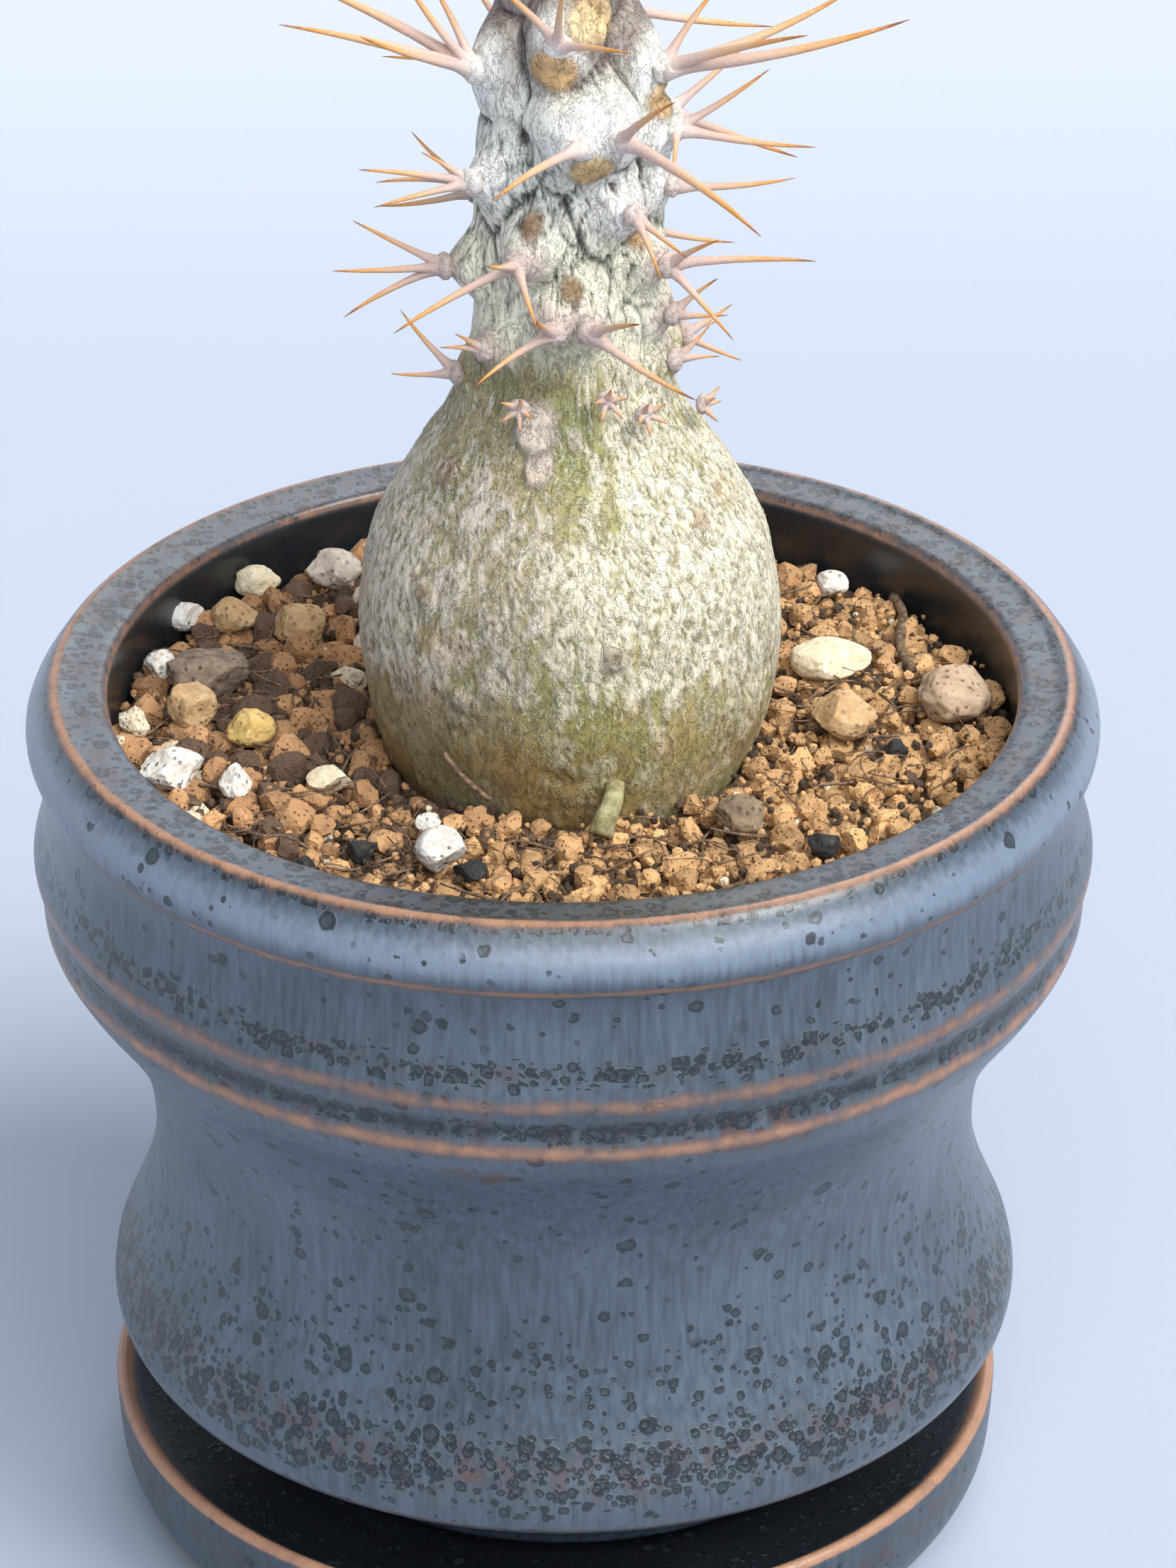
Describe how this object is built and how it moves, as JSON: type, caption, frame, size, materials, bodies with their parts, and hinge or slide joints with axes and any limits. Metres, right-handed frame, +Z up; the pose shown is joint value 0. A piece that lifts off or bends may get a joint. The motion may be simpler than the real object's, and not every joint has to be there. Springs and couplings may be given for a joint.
{
  "type": "potted round-based spiny succulent",
  "caption": "Round swollen-base succulent with a spiny stem, rooted in gritty soil in a turned glazed pot that stands on a matching saucer.",
  "frame": {"origin": "centre of the saucer's underside, on the pot's axis, on the surface that the saucer stands on", "axes": "+Z up along the pot's axis, the plant's front faces -Y, +X to the right seen from the front"},
  "size_m": [0.1102, 0.1102, 0.184],
  "materials": {
    "glaze": "satin slate-blue stoneware glaze with worn copper-brown edges",
    "potting_mix": "rough ochre-brown baked clay grit with dark humus",
    "stem_skin": "dull cracked grey-white bark over green skin",
    "spine_horn": "satin horn, grey-pink at the foot and orange at the tip",
    "net_plastic": "plain moulded",
    "pale_stone": "rough porous pumice",
    "yellow_stone": "soft porous volcanic lump",
    "cream_stone": "smooth dull stone",
    "grey_stone": "rough speckled stone",
    "tan_stone": "rough broken stone",
    "bark": "dry ridged bark",
    "charcoal": "dull broken charcoal",
    "twig": "dry bark"
  },
  "bodies": {
    "root": {"pot": "glaze", "saucer": "glaze", "soil_bed": "potting_mix", "plant_body": "stem_skin", "drain_net": "net_plastic", "pumice_white": "pale_stone", "pumice_small": "pale_stone", "kanuma_lump": "yellow_stone", "cream_chip": "cream_stone", "bark_chip": "bark", "grey_stone_back": "grey_stone", "speckled_stone": "pale_stone", "charcoal_left": "charcoal", "charcoal_right": "charcoal", "cream_stone": "cream_stone", "tan_stone": "tan_stone", "beige_stone": "tan_stone", "dark_speckled_stone": "grey_stone", "white_stone_back": "pale_stone", "dry_twig": "twig", "spines_upper_left": "spine_horn", "spines_upper_front": "spine_horn", "spines_upper_right": "spine_horn", "spines_right_high": "spine_horn", "spines_front_high_left": "spine_horn", "spines_front_high_right": "spine_horn", "spines_left_high": "spine_horn", "spine_right_middle": "spine_horn", "spines_front_middle": "spine_horn", "spines_left_middle": "spine_horn", "spines_front_left": "spine_horn", "spines_front_right": "spine_horn", "spines_low_front_left": "spine_horn", "spines_low_front_right": "spine_horn", "spines_right_low": "spine_horn", "spines_left_low": "spine_horn", "spines_left_lowest": "spine_horn", "spines_right_lowest": "spine_horn", "spines_back_1": "spine_horn", "spines_back_2": "spine_horn", "spines_back_3": "spine_horn", "spines_back_4": "spine_horn", "spines_back_5": "spine_horn", "spines_back_6": "spine_horn", "spines_back_7": "spine_horn", "spines_back_8": "spine_horn", "spines_crown_1": "spine_horn", "spines_crown_2": "spine_horn", "spines_crown_3": "spine_horn", "spines_crown_4": "spine_horn", "star_front_left": "spine_horn", "star_front": "spine_horn", "star_front_right": "spine_horn", "star_right": "spine_horn"}
  },
  "joints": []
}
